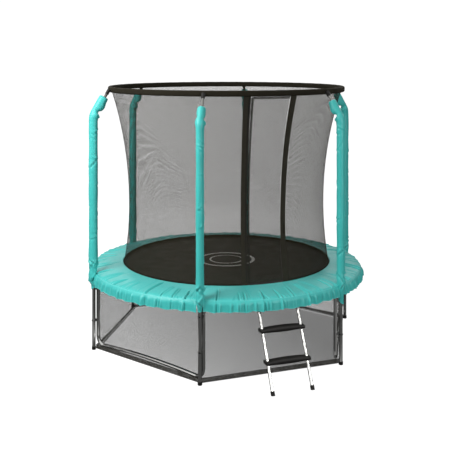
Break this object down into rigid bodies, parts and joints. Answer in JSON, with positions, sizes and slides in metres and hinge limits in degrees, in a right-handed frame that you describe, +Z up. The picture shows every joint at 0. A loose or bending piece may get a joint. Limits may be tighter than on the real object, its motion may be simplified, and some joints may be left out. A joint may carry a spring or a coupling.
{
  "type": "garden trampoline with safety net",
  "caption": "Round garden trampoline with an inner safety net on leaning padded poles, a zipped net door, a spring pad, a lower net and a hook-on ladder.",
  "frame": {"origin": "on the floor, at the middle of the whole footprint with the ladder included", "axes": "+Z up; -Y towards the door and the ladder; +X to the right of someone facing +Y from the ladder; the trampoline's own centre line is 0.1203 m towards +Y"},
  "size_m": [2.543, 2.7256, 2.3],
  "materials": {
    "galvanised_steel": "zinc-plated round tube, satin, with brighter streaks",
    "bright_steel": "bright plated tube",
    "black_plastic": "moulded, slightly textured",
    "turquoise_cover": "semi-gloss coated fabric with sewn seams and soft folds",
    "black_webbing": "woven band",
    "black_net": "fine see-through mesh",
    "woven_mat": "tight plain weave"
  },
  "bodies": {
    "frame": {"door_strap_left": "black_webbing", "door_strap_right": "black_webbing", "frame_rail_back": "galvanised_steel", "frame_rail_back_left": "galvanised_steel", "frame_rail_back_right": "galvanised_steel", "frame_rail_front": "galvanised_steel", "frame_rail_front_left": "galvanised_steel", "frame_rail_front_right": "galvanised_steel", "hoop_band": "black_webbing", "lower_net": "black_net", "pole_foot_cap_back_left": "black_plastic", "pole_foot_cap_back_right": "black_plastic", "pole_foot_cap_front_left": "black_plastic", "pole_foot_cap_front_right": "black_plastic", "pole_foot_cap_left": "black_plastic", "pole_foot_cap_right": "black_plastic", "pole_lower_back_left": "galvanised_steel", "pole_lower_back_right": "galvanised_steel", "pole_lower_front_left": "galvanised_steel", "pole_lower_front_right": "galvanised_steel", "pole_lower_left": "galvanised_steel", "pole_lower_right": "galvanised_steel", "pole_sleeve_back_left": "turquoise_cover", "pole_sleeve_back_right": "turquoise_cover", "pole_sleeve_front_left": "turquoise_cover", "pole_sleeve_front_right": "turquoise_cover", "pole_sleeve_left": "turquoise_cover", "pole_sleeve_right": "turquoise_cover", "pole_top_cap_back_left": "black_plastic", "pole_top_cap_back_right": "black_plastic", "pole_top_cap_front_left": "black_plastic", "pole_top_cap_front_right": "black_plastic", "pole_top_cap_left": "black_plastic", "pole_top_cap_right": "black_plastic", "pole_upper_back_left": "galvanised_steel", "pole_upper_back_right": "galvanised_steel", "pole_upper_front_left": "galvanised_steel", "pole_upper_front_right": "galvanised_steel", "pole_upper_left": "galvanised_steel", "pole_upper_right": "galvanised_steel", "safety_net": "black_net", "spring_bank_back": "galvanised_steel", "spring_bank_left": "galvanised_steel", "spring_bank_right": "galvanised_steel", "spring_pad": "turquoise_cover", "top_hoop": "galvanised_steel", "u_leg_back": "galvanised_steel", "u_leg_left": "galvanised_steel", "u_leg_right": "galvanised_steel"},
    "mat": {"jumping_mat": "woven_mat"},
    "ladder": {"ladder_rail_left": "bright_steel", "ladder_rail_right": "bright_steel", "ladder_foot_left": "black_plastic", "ladder_foot_right": "black_plastic", "ladder_step_lower": "black_plastic", "ladder_step_upper": "black_plastic"},
    "door": {"net_door": "black_net"},
    "zip": {"zip_slider": "black_plastic"}
  },
  "joints": [
    {"name": "mat_bounce", "type": "slide", "parent": "frame", "child": "mat", "axis": [0, 0, 1], "range_m": [-0.25, 0], "stiffness_N_per_m": 5000, "springref_m": 0.02, "deforming": ["spring_bank_right", "spring_bank_back", "spring_bank_left"]},
    {"name": "ladder_swing", "type": "hinge", "parent": "frame", "child": "ladder", "pos_m": [0, -1.068, 0.635], "axis": [-1, 0, 0], "range_deg": [0, 60]},
    {"name": "door_swing", "type": "hinge", "parent": "frame", "child": "door", "pos_m": [0.1844, -0.96411, 1.4823], "axis": [0, 0, 1], "range_deg": [0, 95]},
    {"name": "zip_slide", "type": "hinge", "parent": "frame", "child": "zip", "pos_m": [-0.75093, -4.01181, 1.241], "axis": [-0.9839, 0.1788, 0], "range_deg": [0, 24]}
  ]
}
